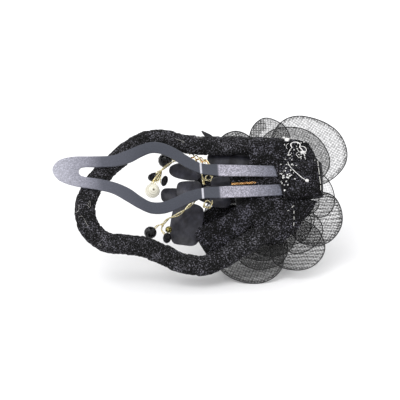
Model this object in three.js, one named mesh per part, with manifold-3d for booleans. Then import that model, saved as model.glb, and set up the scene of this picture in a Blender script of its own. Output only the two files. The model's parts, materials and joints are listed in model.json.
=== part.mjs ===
// A forked alligator hair clip: a sprung sheet-metal jaw over a ribbon-wrapped wire
// loop that carries an organza flower, a satin flower and two beaded wire sprays.
//
// Every piece is modelled in the clip's own frame, in millimetres: +X runs along the
// clip from its tip to its lever, with the hinge at X = 0, +Y runs across it, and +Z
// leaves the face with the metal jaw. The whole clip is then leaned back and set down
// on z = 0, centred over the origin.
import * as THREE from 'three'
import Module from 'manifold-3d'
import { mergeVertices } from 'three/addons/utils/BufferGeometryUtils.js'

// ---------------------------------------------------------------- driving dimensions

const LEAN = THREE.MathUtils.degToRad(45)
const GAP = 0.3

const SHEET = 0.8
const TIP_SLOPE = 0.2
const BEND_NEAR = -28
const BEND_FAR = -34.5
const RAMP_RISE = 0.35
const JAW_SKEW = 0.011

const AXIS_Z = -2.6
const PIN_RADIUS = 0.8
const PIN_HOLE = 0.9
const EAR_RADIUS = 1.7
const JAW_EAR_Y = 5.0
const BASE_EAR_Y = 3.6
const BASE_TOP = -4.6
const BASE_HALF_WIDTH = 5.0
const BASE_START = -22
const BASE_END = 11

const LEVER_START = 2
const LEVER_END = 11.5
const LEVER_SLOPE = 0.28
const LEVER_HALF_WIDTH = 6.2
const PAD_THICKNESS = 1.3
const PAD_HALF_WIDTH = 7.4

const SPRING_RADIUS = 1.45
const SPRING_WIRE = 0.3
const SPRING_TURNS = 4
const SPRING_PITCH = 1.15

const WRAP = { wide: 8.0, thick: 5.8 }
const WRAP_WALL = 0.3
const PADDING_CLEARANCE = 0.3
const WIRE = { wide: 3.0, thick: 1.2 }
const FRAME_LOW = -4
const FRAME_RISE = 11.2
const FRAME_STEPS = 54

const COVER = { start: -14.5, end: 12, low: -19.5, high: 20 }
const COVER_THICKNESS = 0.5
const COVER_CORNER = { start: 6, end: 11 }
const GATHER = { wide: 10.5, thick: 2.2 }
const LEVER_WELL = { start: -3, half: 8.2 }

const FLOWER = { x: -6, y: -3.5 }
const FELT_RADIUS = 15
const FELT_TOP = -7.2
const FELT_THICKNESS = 1.8
const CORE_RADIUS = 3.6
const CORE_BOTTOM = -23
const PETAL_ROOT = 4.3
const PETAL_THICKNESS = 0.5
const PINWHEEL = 1.3

const SATIN = { x: -32, y: 0 }
const SATIN_Z = -9
const SATIN_THICKNESS = 0.6
const SATIN_CORE_RADIUS = 2

const STEM_RADIUS = 0.4
const BRANCH_RADIUS = 0.28

// ---------------------------------------------------------------- finishes

function finish(color, roughness, metalness = 0) {
  return new THREE.MeshStandardMaterial({ color, roughness, metalness })
}

const GUNMETAL = finish(0x6b6d76, 0.42, 0.8)
const STEEL = finish(0x9a9a9e, 0.35, 1.0)
const RIBBON = finish(0x17171a, 0.9)
const COTTON = finish(0x2a2a2c, 0.95)
const FELT = finish(0x141416, 0.95)
const ORGANZA = finish(0x222226, 0.7)
const SATIN_CLOTH = finish(0x3c3d47, 0.4)
const GLUE = finish(0xd8d6cf, 0.3)
const PEARL = finish(0xe8e0c8, 0.25)
const JET = finish(0x0c0c0e, 0.12)
const GOLD = finish(0xb89850, 0.3, 1.0)
const CLEAR = finish(0xd9dde0, 0.1)

// ---------------------------------------------------------------- shared shapes

const wasm = await Module()
wasm.setup()

function solidOf(geometry) {
  const bare = geometry.clone()
  bare.deleteAttribute('normal')
  bare.deleteAttribute('uv')
  const merged = mergeVertices(bare, 1e-5)
  return new wasm.Manifold(new wasm.Mesh({
    numProp: 3,
    vertProperties: new Float32Array(merged.attributes.position.array),
    triVerts: new Uint32Array(merged.index.array),
  }))
}

function geometryOf(solid) {
  const mesh = solid.getMesh()
  const geometry = new THREE.BufferGeometry()
  geometry.setAttribute('position', new THREE.BufferAttribute(mesh.vertProperties, 3))
  geometry.setIndex(new THREE.BufferAttribute(mesh.triVerts, 1))
  return geometry
}

function piece(name, geometry, material) {
  const mesh = new THREE.Mesh(geometry, material)
  mesh.name = name
  return mesh
}

// Moves every point of a geometry to where place(x, y, z) says.
function moulded(geometry, place) {
  const position = geometry.attributes.position
  for (let i = 0; i < position.count; i += 1) {
    const p = place(position.getX(i), position.getY(i), position.getZ(i))
    position.setXYZ(i, p[0], p[1], p[2])
  }
  geometry.computeVertexNormals()
  return geometry
}

// A strip of sheet: along runs 0..1 down its length, across is -1 or 1, up is 0 or 1.
function strip(steps, place) {
  const box = new THREE.BoxGeometry(1, 1, 1, steps, 1, 1)
  return moulded(box, (x, y, z) => place(x + 0.5, 2 * y, z + 0.5))
}

// A thin lens: (x, y) covers the unit disc and z is the thickness, from -1 to 1.
function lens(place) {
  const disc = new THREE.SphereGeometry(1, 14, 6).rotateX(Math.PI / 2)
  return moulded(disc, place)
}

const curveThrough = (points) => new THREE.CatmullRomCurve3(points.map((p) => new THREE.Vector3(...p)))

function roundSection(radius, sides) {
  return new THREE.Shape(new THREE.EllipseCurve(0, 0, radius, radius, 0, 2 * Math.PI).getPoints(sides).slice(0, -1))
}

function rod(points, radius, steps, sides = 6) {
  const options = { extrudePath: curveThrough(points), steps, bevelEnabled: false }
  return new THREE.ExtrudeGeometry(roundSection(radius, sides), options)
}

function disc(radius, bottom, top, sides, x = 0, y = 0) {
  const cylinder = new THREE.CylinderGeometry(radius, radius, top - bottom, sides).rotateX(Math.PI / 2)
  return cylinder.translate(x, y, (top + bottom) / 2)
}

// ---------------------------------------------------------------- metal clip

// Half of the jaw's fork, from the hinge to the tip: [outer x, outer y, inner x, inner y].
const FORK = [
  [-1, 6.2, -1, 1.6],
  [-14, 6.8, -14, 2.0],
  [BEND_NEAR, 7.3, BEND_NEAR, 2.4],
  [BEND_FAR, 7.7, BEND_FAR, 3.2],
  [-39.5, 10.2, -40.5, 5.4],
  [-44.5, 13.2, -45.3, 8.3],
  [-49.5, 15.2, -49.8, 10.4],
  [-54, 15.4, -54, 10.6],
  [-58.5, 13.7, -57.8, 8.7],
  [-63.5, 10.9, -62, 5.8],
  [-69, 8.1, -67.5, 3.6],
  [-77, 6.9, -74.5, 2.5],
  [-84.5, 6.0, -79.5, 2.1],
  [-89.5, 3.9, -81.1, 1.5],
  [-91.6, 0, -81.7, 0],
]
const FORK_STEPS = 84

function forkHeight(x) {
  if (x > BEND_NEAR) return 0
  const ramp = RAMP_RISE * Math.min(1, (BEND_NEAR - x) / (BEND_NEAR - BEND_FAR))
  return ramp + TIP_SLOPE * Math.max(0, BEND_FAR - x)
}

function forkEdge(column) {
  const half = FORK.map((row) => [row[column], row[column + 1], 0])
  const mirrored = half.slice(0, -1).reverse().map(([x, y]) => [x, -y, 0])
  return curveThrough([...half, ...mirrored])
}

function fork() {
  const outer = forkEdge(0)
  const inner = forkEdge(2)
  return strip(FORK_STEPS, (along, across, up) => {
    const p = (across < 0 ? outer : inner).getPoint(along)
    return [p.x, p.y + JAW_SKEW * p.x, forkHeight(p.x) + SHEET * up]
  })
}

const leverHeight = (x) => LEVER_SLOPE * Math.max(0, x - LEVER_START)

// The lever plate closes the fork behind the hinge and turns up for the thumb.
function lever() {
  const start = -3.5
  return strip(8, (along, across, up) => {
    const x = start + (LEVER_END - start) * along
    const taper = 1 - 0.22 * Math.max(0, (x - 7) / (LEVER_END - 7)) ** 2
    return [x, across * LEVER_HALF_WIDTH * taper, leverHeight(x) + SHEET * up]
  })
}

// An upright ear round the hinge axis, reaching to the height `root`, with its outer face at y.
function ear(root, y) {
  const shape = new THREE.Shape()
  const up = root > AXIS_Z
  shape.absarc(0, AXIS_Z, EAR_RADIUS, up ? Math.PI : 0, up ? 2 * Math.PI : Math.PI, false)
  shape.lineTo(up ? EAR_RADIUS + 0.8 : -EAR_RADIUS - 0.8, root)
  shape.lineTo(up ? -EAR_RADIUS - 0.8 : EAR_RADIUS + 0.8, root)
  shape.closePath()
  const hole = new THREE.Path()
  hole.absarc(0, AXIS_Z, PIN_HOLE, 0, 2 * Math.PI, true)
  shape.holes.push(hole)
  const plate = new THREE.ExtrudeGeometry(shape, { depth: SHEET, bevelEnabled: false, curveSegments: 12 })
  return plate.rotateX(Math.PI / 2).translate(0, y, 0)
}

function jawBlade() {
  const root = SHEET / 2
  const parts = [lever(), ear(root, JAW_EAR_Y + SHEET), ear(root, -JAW_EAR_Y)]
  const solid = parts.reduce((whole, part) => whole.add(solidOf(part)), solidOf(fork()))
  return piece('jaw_blade', geometryOf(solid), GUNMETAL)
}

function leverPad() {
  const start = -4
  const end = LEVER_END + 0.8
  const geometry = strip(8, (along, across, up) => {
    const x = start + (end - start) * along
    const width = PAD_HALF_WIDTH * (1 - 0.12 * Math.abs(2 * along - 1) ** 3)
    return [x, across * width, leverHeight(x) + SHEET + GAP + PAD_THICKNESS * up]
  })
  return piece('lever_pad', geometry, FELT)
}

function basePlate() {
  const flat = strip(6, (along, across, up) => {
    const x = BASE_START + (BASE_END - BASE_START) * along
    const rounding = 1 - 0.3 * Math.abs(2 * along - 1) ** 6
    return [x, across * BASE_HALF_WIDTH * rounding, BASE_TOP - SHEET * (1 - up)]
  })
  const root = BASE_TOP - SHEET / 2
  const ears = [ear(root, BASE_EAR_Y + SHEET), ear(root, -BASE_EAR_Y)]
  const solid = ears.reduce((whole, part) => whole.add(solidOf(part)), solidOf(flat))
  return piece('base_plate', geometryOf(solid), STEEL)
}

function hingePin() {
  const head = 1.35
  const shank = JAW_EAR_Y + SHEET + GAP
  const end = shank + 0.6
  const profile = [[0, -end], [head, -end], [head, -shank], [PIN_RADIUS, -shank],
    [PIN_RADIUS, shank], [head, shank], [head, end], [0, end]]
  const lathe = new THREE.LatheGeometry(profile.map(([r, y]) => new THREE.Vector2(r, y)), 16)
  return piece('hinge_pin', lathe.translate(0, 0, AXIS_Z), STEEL)
}

// The spring coils round the pin and pushes the lever away from the base plate. Its upper arm
// is drawn where the lever meets it when the jaw is fully open.
function torsionSpring() {
  const reach = 6.5
  const half = (SPRING_TURNS * SPRING_PITCH) / 2
  const steps = 9
  const points = [[reach, -half, AXIS_Z - SPRING_RADIUS], [reach / 2, -half, AXIS_Z - SPRING_RADIUS]]
  for (let i = 0; i <= SPRING_TURNS * steps + 5; i += 1) {
    const angle = -Math.PI / 2 - (2 * Math.PI * i) / steps
    const y = -half + (SPRING_PITCH * i) / steps
    points.push([SPRING_RADIUS * Math.cos(angle), y, AXIS_Z + SPRING_RADIUS * Math.sin(angle)])
  }
  const last = half + 0.6 * SPRING_PITCH
  points.push([2.6, last, -2.25], [reach, last, -2.95])
  return piece('torsion_spring', rod(points, SPRING_WIRE, 90, 5), STEEL)
}

// ---------------------------------------------------------------- wrapped frame loop

// The loop's centreline seen along Z, from its upper end round the left to its lower end.
const LOOP = [
  [5, 14.9], [-3, 16.3], [-11, 17.4], [-19, 17.7], [-27, 17.6], [-35.5, 17.6], [-42, 17.9], [-48.5, 19.2],
  [-54.5, 18.9], [-60, 15.9], [-64.6, 11.6], [-68.5, 7], [-71.6, 3], [-74.6, -1], [-77.4, -7],
  [-79, -13.3], [-78.7, -18.5], [-76.7, -23], [-73.6, -26.2], [-69.4, -27.7], [-64.5, -27.7],
  [-59.2, -27.6], [-54.5, -28.6], [-49.5, -30.4], [-44.8, -32.6], [-39.5, -34.1], [-33.8, -34.2],
  [-27.6, -31.8], [-19.7, -26.6], [-12.6, -22.2], [-3.9, -15.8], [2.2, -11.3],
]

// The loop lies flat behind the flower and arches up towards its far end, like a scalp.
function loopHeight(x) {
  const run = THREE.MathUtils.clamp((-20 - x) / 62, 0, 1)
  return FRAME_LOW + FRAME_RISE * run ** 2
}

const loopCurve = () => curveThrough(LOOP.map(([x, y]) => [x, y, loopHeight(x)]))

function ovalPoints(wide, thick, sides) {
  const points = new THREE.EllipseCurve(0, 0, thick / 2, wide / 2, 0, 2 * Math.PI).getPoints(sides)
  return points.slice(0, -1)
}

function boxPoints(wide, thick) {
  const [a, b] = [thick / 2, wide / 2]
  return [[-a, -b], [a, -b], [a, b], [-a, b]].map(([x, y]) => new THREE.Vector2(x, y))
}

function alongLoop(outline, hole) {
  const shape = new THREE.Shape(outline)
  if (hole) shape.holes.push(new THREE.Path(hole))
  const options = { extrudePath: loopCurve(), steps: FRAME_STEPS, bevelEnabled: false }
  return new THREE.ExtrudeGeometry(shape, options)
}

function frameWire() {
  return piece('frame_wire', alongLoop(boxPoints(WIRE.wide, WIRE.thick)), STEEL)
}

function framePadding() {
  const inset = 2 * (WRAP_WALL + PADDING_CLEARANCE)
  const outline = ovalPoints(WRAP.wide - inset, WRAP.thick - inset, 8)
  const hole = boxPoints(WIRE.wide + 2 * GAP, WIRE.thick + 2 * GAP)
  return piece('frame_padding', alongLoop(outline, hole), COTTON)
}

function frameWrap() {
  const outline = ovalPoints(WRAP.wide, WRAP.thick, 8)
  const hole = ovalPoints(WRAP.wide - 2 * WRAP_WALL, WRAP.thick - 2 * WRAP_WALL, 8)
  return piece('frame_wrap', alongLoop(outline, hole), RIBBON)
}

// The cover hides the loop's two ends, and leaves a well for the hinge and the lever.
function netCover() {
  const { start, end, low, high } = COVER
  const near = COVER_CORNER.start
  const far = COVER_CORNER.end
  const shape = new THREE.Shape()
  shape.absarc(start + near, low + near, near, Math.PI, 1.5 * Math.PI)
  shape.absarc(end - far, low + far, far, -0.5 * Math.PI, 0)
  shape.lineTo(end, -LEVER_WELL.half)
  shape.lineTo(LEVER_WELL.start, -LEVER_WELL.half)
  shape.lineTo(LEVER_WELL.start, LEVER_WELL.half)
  shape.lineTo(end, LEVER_WELL.half)
  shape.absarc(end - far, high - far, far, 0, 0.5 * Math.PI)
  shape.absarc(start + near, high - near, near, 0.5 * Math.PI, Math.PI)
  shape.closePath()
  const options = { depth: COVER_THICKNESS, bevelEnabled: false, curveSegments: 5 }
  const sheet = new THREE.ExtrudeGeometry(shape, options)
  return piece('net_cover', sheet.translate(0, 0, -GAP - COVER_THICKNESS), RIBBON)
}

// A gathered band of net runs inside the loop, from its lower side up to the cover.
const GATHER_PATH = [[-34.3, -23.8, -6.2], [-29, -21, -5.5], [-22, -16.8, -4], [-15.5, -12.2, -2.8]]

function netGather() {
  const options = { extrudePath: curveThrough(GATHER_PATH), steps: 10, bevelEnabled: false }
  const section = new THREE.Shape(ovalPoints(GATHER.wide, GATHER.thick, 12))
  return piece('net_gather', new THREE.ExtrudeGeometry(section, options), RIBBON)
}

// ---------------------------------------------------------------- organza flower

const feltBottom = FELT_TOP - FELT_THICKNESS

function flowerBase() {
  const bed = new THREE.BoxGeometry(24, 9, BASE_TOP - SHEET - FELT_TOP - 0.6, 1, 1, 1)
  bed.translate(-5, 0, (BASE_TOP - SHEET + FELT_TOP) / 2)
  return [
    piece('glue_bed', bed, GLUE),
    piece('felt_backing', disc(FELT_RADIUS, feltBottom, FELT_TOP, 20, FLOWER.x, FLOWER.y), FELT),
    piece('flower_core', disc(CORE_RADIUS, CORE_BOTTOM, feltBottom - GAP, 12, FLOWER.x, FLOWER.y), COTTON),
  ]
}

// Rings of petals, from the clip outwards. cup is how far a petal bends down at 30 mm.
// Each petal is [angle in degrees, reach, half angle in degrees, cup if it isn't the ring's].
const RINGS = [
  { name: 'outer_petal', z: -11.6, cup: 2.5, petals: [
    [56, 41, 35, -2], [91, 36.3, 20, -2], [122, 35.2, 23, -0.5], [160, 33, 24], [199, 32, 16],
    [247, 37, 33, 0], [295, 31.8, 30, -0.5], [335, 29, 36, -1]] },
  { name: 'middle_petal', z: -14.4, cup: 4, petals: [
    [15, 26, 34, 1], [67, 37.5, 36, 1], [135, 29, 34], [195, 28, 34], [255, 27.5, 34], [315, 24, 34]] },
  { name: 'inner_petal', z: -17.6, cup: 6, petals: [
    [30, 21, 40], [102, 23, 40], [174, 23, 40], [246, 22.5, 40], [318, 18, 40]] },
  { name: 'heart_petal', z: -21, cup: 12, petals: [
    [0, 18, 48], [90, 18, 48], [180, 18, 48], [270, 18, 48]] },
]

function organzaPetal(ring, [angle, reach, halfAngle, cup = ring.cup], name) {
  const middle = THREE.MathUtils.degToRad(angle)
  const spread = THREE.MathUtils.degToRad(halfAngle)
  const geometry = lens((x, y, z) => {
    const r = PETAL_ROOT + ((reach - PETAL_ROOT) * (1 + x)) / 2
    const turn = spread * y
    const height = ring.z - cup * (r / 30) ** 2 + PINWHEEL * turn
    return [FLOWER.x + r * Math.cos(middle + turn), FLOWER.y + r * Math.sin(middle + turn),
      height + (PETAL_THICKNESS / 2) * z]
  })
  return piece(name, geometry, ORGANZA)
}

function organzaPetals() {
  return RINGS.flatMap((ring) => ring.petals.map((petal, i) => organzaPetal(ring, petal, `${ring.name}_${i + 1}`)))
}

// ---------------------------------------------------------------- satin flower

// Each petal is [middle x, middle y, height, bearing in degrees, half length, half width].
const SATIN_PETALS = [
  [-41, 8, -7.7, 170, 6.6, 3.8],
  [-39.4, -0.2, -8.4, 180, 5.1, 4.7],
  [-46.6, -1.5, -9.6, 185, 4.2, 3.1],
  [-40.3, -14.5, -9.2, 262, 9.2, 6.3],
  [-22.7, 13.8, -7.5, 0, 9.5, 3.4],
  [-27.2, -5.2, -7.8, 0, 4.3, 2.6],
  [-25.7, 3.1, -8, 5, 5.2, 3.3],
]

function satinPetal([middleX, middleY, height, bearing, halfLength, halfWidth], name) {
  const angle = THREE.MathUtils.degToRad(bearing)
  const geometry = lens((x, y, z) => [
    middleX + halfLength * x * Math.cos(angle) - halfWidth * y * Math.sin(angle),
    middleY + halfLength * x * Math.sin(angle) + halfWidth * y * Math.cos(angle),
    height + (SATIN_THICKNESS / 2) * z])
  return piece(name, geometry, SATIN_CLOTH)
}

function satinFlower() {
  const core = disc(SATIN_CORE_RADIUS, SATIN_Z - 2, SATIN_Z + 1.4, 12, SATIN.x, SATIN.y)
  const petals = SATIN_PETALS.map((petal, i) => satinPetal(petal, `satin_petal_${i + 1}`))
  return [piece('satin_core', core, SATIN_CLOTH), ...petals]
}

// ---------------------------------------------------------------- beads and wires

function roundBead(name, radius, place, material) {
  const ball = new THREE.SphereGeometry(radius, 12, 8).translate(...place)
  return piece(name, ball, material)
}

function facetedBead(name, radius, place, material = JET) {
  const ball = new THREE.IcosahedronGeometry(radius, 1).translate(...place)
  return piece(name, ball, material)
}

function beads() {
  return [
    roundBead('pearl', 3, [-53.9, -2.5, -3.6], PEARL),
    facetedBead('black_bead_1', 2.3, [-53.2, 4.3, -5.2]),
    facetedBead('black_bead_2', 3, [-49.2, 13.2, -8]),
    facetedBead('black_bead_3', 2.5, [-54.3, -21, -2.4]),
    facetedBead('black_bead_4', 1.75, [-47.8, -22.2, -4]),
    facetedBead('black_bead_5', 1.9, [-49.2, 2.5, -5]),
    facetedBead('gold_bead', 1.4, [-47.3, -19, -4], GOLD),
    roundBead('clear_bead', 1.3, [-48.6, -10.4, -4.4], CLEAR),
  ]
}

function wires() {
  const stem = (name, points, steps) => piece(name, rod(points, STEM_RADIUS, steps), GOLD)
  const branch = (name, points) => piece(name, rod(points, BRANCH_RADIUS, 6, 5), GOLD)
  return [
    stem('upper_stem', [[-33.5, 1.8, -6.6], [-35, 7.5, -6.2], [-38.5, 11.4, -5.4], [-43, 11.9, -4.4],
      [-47, 9.4, -3.4], [-50, 6.6, -2.9]], 18),
    branch('pearl_branch', [[-50.8, 5.6, -2.8], [-52.2, 3.2, -2.9], [-53.2, 0.9, -3.2]]),
    branch('bead_1_branch', [[-50.6, 6.9, -3.2], [-51.3, 6.8, -3.8], [-51.9, 6.3, -4.2]]),
    stem('side_stem', [[-35.4, 8.8, -7.2], [-39, 12.4, -7.2], [-42.5, 13.8, -7.4], [-45.7, 13.6, -7.8]], 12),
    stem('lower_stem', [[-34.5, -2.4, -6.8], [-38.5, -7, -6.4], [-43.5, -11.5, -6.2], [-47.6, -14, -5.2],
      [-49.4, -16.4, -4.4]], 16),
    branch('bead_3_branch', [[-50.5, -16.9, -4.2], [-51.7, -17.4, -3.8], [-52.9, -18.5, -3.2]]),
    branch('bead_4_branch', [[-50.2, -18, -4.3], [-50, -19.2, -4.1], [-49.2, -20.3, -4]]),
  ]
}

function glueBlob() {
  const blob = lens((x, y, z) => [3.5 + 2.4 * x, 15.9 + 1.8 * y, 0.7 + 0.6 * z])
  return piece('glue_blob', blob, GLUE)
}

// ---------------------------------------------------------------- assembly

function assemble() {
  const clip = new THREE.Group()
  clip.add(jawBlade(), leverPad())
  clip.add(basePlate(), hingePin(), torsionSpring())
  clip.add(frameWire(), framePadding(), frameWrap(), netCover(), netGather())
  clip.add(...flowerBase(), ...organzaPetals(), ...satinFlower())
  clip.add(...beads(), ...wires(), glueBlob())
  return clip
}

// Leans the clip back and stands it on z = 0 with its footprint centred on the origin.
function setDown(clip) {
  clip.rotation.x = Math.PI / 2 - LEAN
  clip.updateMatrixWorld(true)
  const box = new THREE.Box3().setFromObject(clip, true)
  const centre = box.getCenter(new THREE.Vector3())
  clip.position.set(-centre.x, -centre.y, -box.min.z)
  const stand = new THREE.Group()
  stand.add(clip)
  return stand
}

export default setDown(assemble())
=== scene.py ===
import json
import math
import random
from math import cos, pi, radians, sin, tau

import bmesh
import bpy
import numpy as np
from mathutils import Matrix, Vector, noise


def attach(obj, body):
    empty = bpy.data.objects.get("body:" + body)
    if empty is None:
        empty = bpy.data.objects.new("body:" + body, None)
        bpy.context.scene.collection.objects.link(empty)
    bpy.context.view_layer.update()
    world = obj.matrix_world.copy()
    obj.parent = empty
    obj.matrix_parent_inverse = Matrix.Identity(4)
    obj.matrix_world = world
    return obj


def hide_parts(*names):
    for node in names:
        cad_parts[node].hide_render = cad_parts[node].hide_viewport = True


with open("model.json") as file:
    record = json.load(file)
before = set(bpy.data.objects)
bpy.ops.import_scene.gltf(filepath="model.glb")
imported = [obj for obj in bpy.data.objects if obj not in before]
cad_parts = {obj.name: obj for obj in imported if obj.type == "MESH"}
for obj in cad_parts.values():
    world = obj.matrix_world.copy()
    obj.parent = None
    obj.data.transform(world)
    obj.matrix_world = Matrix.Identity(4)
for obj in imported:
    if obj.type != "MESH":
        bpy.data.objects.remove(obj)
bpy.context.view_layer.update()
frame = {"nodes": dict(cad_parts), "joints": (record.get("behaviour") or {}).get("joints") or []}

# ---- the clip's own frame
# Pieces are made in millimetres in the clip's frame: x along the clip, y along the hinge
# pin, z out of the jaw's face. The hinge axis is at x = 0, z = AXIS_Z.

MM = 0.001
AXIS_Z = -2.6
joint = frame["joints"][0]
HINGE = np.array(joint["pos_m"])
ACROSS = np.array(joint["axis"]) / np.linalg.norm(joint["axis"])
ALONG = np.array([1.0, 0.0, 0.0])
OUT = np.cross(ALONG, ACROSS)


def to_row(points):
    """Points of the clip's frame, in mm, as points of the row frame, in metres."""
    p = np.asarray(points, float)
    moved = p[..., 0:1] * ALONG + p[..., 1:2] * ACROSS + (p[..., 2:3] - AXIS_Z) * OUT
    return HINGE + MM * moved


# ---- curves

def curve(points, count):
    """count points on the centripetal Catmull-Rom curve through points, evenly spaced."""
    p = np.array(points, float)
    p = np.vstack([2 * p[0] - p[1], p, 2 * p[-1] - p[-2]])
    dense = []
    for i in range(1, len(p) - 2):
        t = np.cumsum([0] + [np.linalg.norm(p[i + k] - p[i + k - 1]) ** 0.5 for k in range(3)])
        slope_1 = (p[i] - p[i - 1]) / t[1] - (p[i + 1] - p[i - 1]) / t[2] + (p[i + 1] - p[i]) / (t[2] - t[1])
        slope_2 = (p[i + 1] - p[i]) / (t[2] - t[1]) - (p[i + 2] - p[i]) / (t[3] - t[1]) \
            + (p[i + 2] - p[i + 1]) / (t[3] - t[2])
        span = t[2] - t[1]
        for s in np.linspace(0, 1, 24, endpoint=False):
            h = [2 * s**3 - 3 * s**2 + 1, s**3 - 2 * s**2 + s, 3 * s**2 - 2 * s**3, s**3 - s**2]
            dense.append(h[0] * p[i] + h[1] * span * slope_1 + h[2] * p[i + 1] + h[3] * span * slope_2)
    dense.append(p[-2])
    dense = np.array(dense)
    return dense if count is None else resampled(dense, count)


def distances(points):
    """How far along a line of points each of them is."""
    steps = np.linalg.norm(np.diff(np.asarray(points, float), axis=0), axis=1)
    return np.concatenate([[0], np.cumsum(steps)])


def resampled(points, count):
    run = distances(points)
    want = np.linspace(0, run[-1], count)
    return np.stack([np.interp(want, run, points[:, k]) for k in range(3)], 1)


def frames(path, up=(0, 0, 1), closed=False):
    """The tangent, side and upward directions along a path."""
    tangent = np.roll(path, -1, 0) - np.roll(path, 1, 0) if closed else np.gradient(path, axis=0)
    tangent /= np.linalg.norm(tangent, axis=1)[:, None]
    side = np.cross(np.array(up, float), tangent)
    length = np.linalg.norm(side, axis=1)[:, None]
    side = np.where(length < 1e-6, np.array([1.0, 0, 0]), side / np.maximum(length, 1e-9))
    return tangent, side, np.cross(tangent, side)


def around(count):
    """The turn, its cosine and its sine, at count even steps round a circle."""
    for k in range(count):
        turn = tau * k / count
        yield turn, cos(turn), sin(turn)


def ring_at(middle, z, radius_at, count):
    """A level ring of points round a middle, as far out as radius_at says for each turn."""
    return [(middle[0] + radius_at(a) * c, middle[1] + radius_at(a) * s, z) for a, c, s in around(count)]


def smooth(x):
    x = np.clip(x, 0, 1)
    return x * x * (3 - 2 * x)


def wobble(p, scale, seed=0.0):
    """Smooth noise from -1 to 1 at a point given in mm."""
    return noise.noise(Vector((p[0] / scale + seed, p[1] / scale, p[2] / scale + 0.37 * seed)))


# ---- mesh building

def placed(name, data):
    made = bpy.data.objects.new(name, data)
    bpy.context.scene.collection.objects.link(made)
    return made


# The direction that the sides of a rod are worked out from.
TUBE_UP = (0.12, 0.21, 0.97)


class Builder:
    """Collects grids of points into one mesh, with a "weave" coordinate in mm on it."""

    def __init__(self, name):
        self.name = name
        self.points, self.faces, self.weave, self.slots = [], [], [], []
        self.count = 0

    def grid(self, points, material=0, close_rows=False, close_cols=False, weave=None, caps=False):
        """points is (rows, columns, 3). weave is (rows, columns, 2), and one more where the grid closes."""
        points = np.asarray(points, float)
        rows, cols = points.shape[:2]
        if weave is None:
            weave = self.unrolled(points, close_rows, close_cols)
        for i in range(rows if close_rows else rows - 1):
            for j in range(cols if close_cols else cols - 1):
                quad = [(i, j), (i + 1, j), (i + 1, j + 1), (i, j + 1)]
                self.faces.append([self.count + (a % rows) * cols + b % cols for a, b in quad])
                self.weave.extend(tuple(weave[min(a, weave.shape[0] - 1), min(b, weave.shape[1] - 1)])
                                  for a, b in quad)
                self.slots.append(material)
        if caps:
            for i, order in ((0, 1), (rows - 1, -1)):
                ring = [self.count + i * cols + j for j in range(cols)][::order]
                self.faces.append(ring)
                self.weave.extend([(0.0, 0.0)] * cols)
                self.slots.append(material)
        self.points.append(to_row(points.reshape(-1, 3)))
        self.count += rows * cols
        return self

    def solid(self, rows, **settings):
        """Rings of points, joined and closed at both ends."""
        return self.grid(rows, close_cols=True, caps=True, **settings)

    @staticmethod
    def unrolled(points, close_rows, close_cols):
        p = np.concatenate([points, points[:1] if close_rows else points[-1:]], 0)
        p = np.concatenate([p, p[:, :1] if close_cols else p[:, -1:]], 1)
        down = np.linalg.norm(np.diff(p, axis=0), axis=2).max(1)
        over = np.linalg.norm(np.diff(p, axis=1), axis=2).max(0)
        u = np.concatenate([[0], np.cumsum(down)])
        v = np.concatenate([[0], np.cumsum(over)])
        return np.stack(np.meshgrid(u, v, indexing="ij"), -1)

    def tube(self, path, radius, sides=8, material=0, closed=False):
        """A round rod along a path, with round ends unless it is closed."""
        path = np.asarray(path, float)
        radii = np.full(len(path), float(radius)) if np.isscalar(radius) else np.asarray(radius, float)
        if not closed:
            tangent = frames(path)[0]
            small, past = np.array([0.02, 0.5, 0.87]), np.array([1.0, 0.87, 0.5])
            head = path[0] - tangent[0] * radii[0] * past[:, None]
            tail = path[-1] + tangent[-1] * radii[-1] * past[::-1, None]
            path = np.concatenate([head, path, tail])
            radii = np.concatenate([radii[0] * small, radii, radii[-1] * small[::-1]])
        _, side, up = frames(path, TUBE_UP, closed)
        turn = (tau * np.arange(sides) / sides)[None, :, None]
        ring = side[:, None] * np.cos(turn) + up[:, None] * np.sin(turn)
        points = path[:, None] + radii[:, None, None] * ring
        return self.grid(points, material, close_rows=closed, close_cols=True, caps=not closed)

    def made(self, *materials, flat_shaded=False):
        mesh = bpy.data.meshes.new(self.name)
        mesh.from_pydata(np.concatenate(self.points).tolist(), [], self.faces)
        weave = mesh.attributes.new("weave", "FLOAT_VECTOR", "CORNER")
        weave.data.foreach_set("vector", np.array([(u, v, 0) for u, v in self.weave], np.float32).ravel())
        for material in materials:
            mesh.materials.append(material)
        mesh.polygons.foreach_set("material_index", self.slots)
        mesh.polygons.foreach_set("use_smooth", [not flat_shaded] * len(mesh.polygons))
        work = bmesh.new()
        work.from_mesh(mesh)
        bmesh.ops.remove_doubles(work, verts=work.verts, dist=2e-7)
        bmesh.ops.recalc_face_normals(work, faces=work.faces)
        work.to_mesh(mesh)
        work.free()
        return placed(self.name, mesh)


def settle(piece, slot, *nodes, body="root"):
    """Puts a finished piece on its body, and in place of the CAD nodes that it stands for."""
    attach(piece, body)
    if nodes:
        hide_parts(*nodes)
    return piece


NET_THICKNESS = 0.3


def thicken(piece):
    cloth = piece.modifiers.new("cloth", "SOLIDIFY")
    cloth.thickness = NET_THICKNESS * MM
    cloth.offset = -1


def squared(value, power):
    return math.copysign(abs(value) ** (2 / power), value)


def rounded_cut(half_length, half_width, power):
    """The outline of a cut with rounded corners: power 2 is an oval, more is squarer."""
    return [(half_length * squared(c, power), half_width * squared(s, power)) for _, c, s in around(120)]


def declare_cut(outline, hem=0.0):
    """Works out the area of a piece's cloth, from the flat outline of its pattern in mm and what its hem
    takes; the area is not kept.

    A declared side is at least SMALLEST_SIDE; the area stays the pattern's own.
    """
    edge = np.asarray(outline, float)
    after = np.roll(edge, -1, axis=0)
    area = abs(float((edge[:, 0] * after[:, 1] - edge[:, 1] * after[:, 0]).sum())) / 2
    area += hem * distances(np.vstack([edge, edge[:1]]))[-1]


# ---- materials

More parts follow.
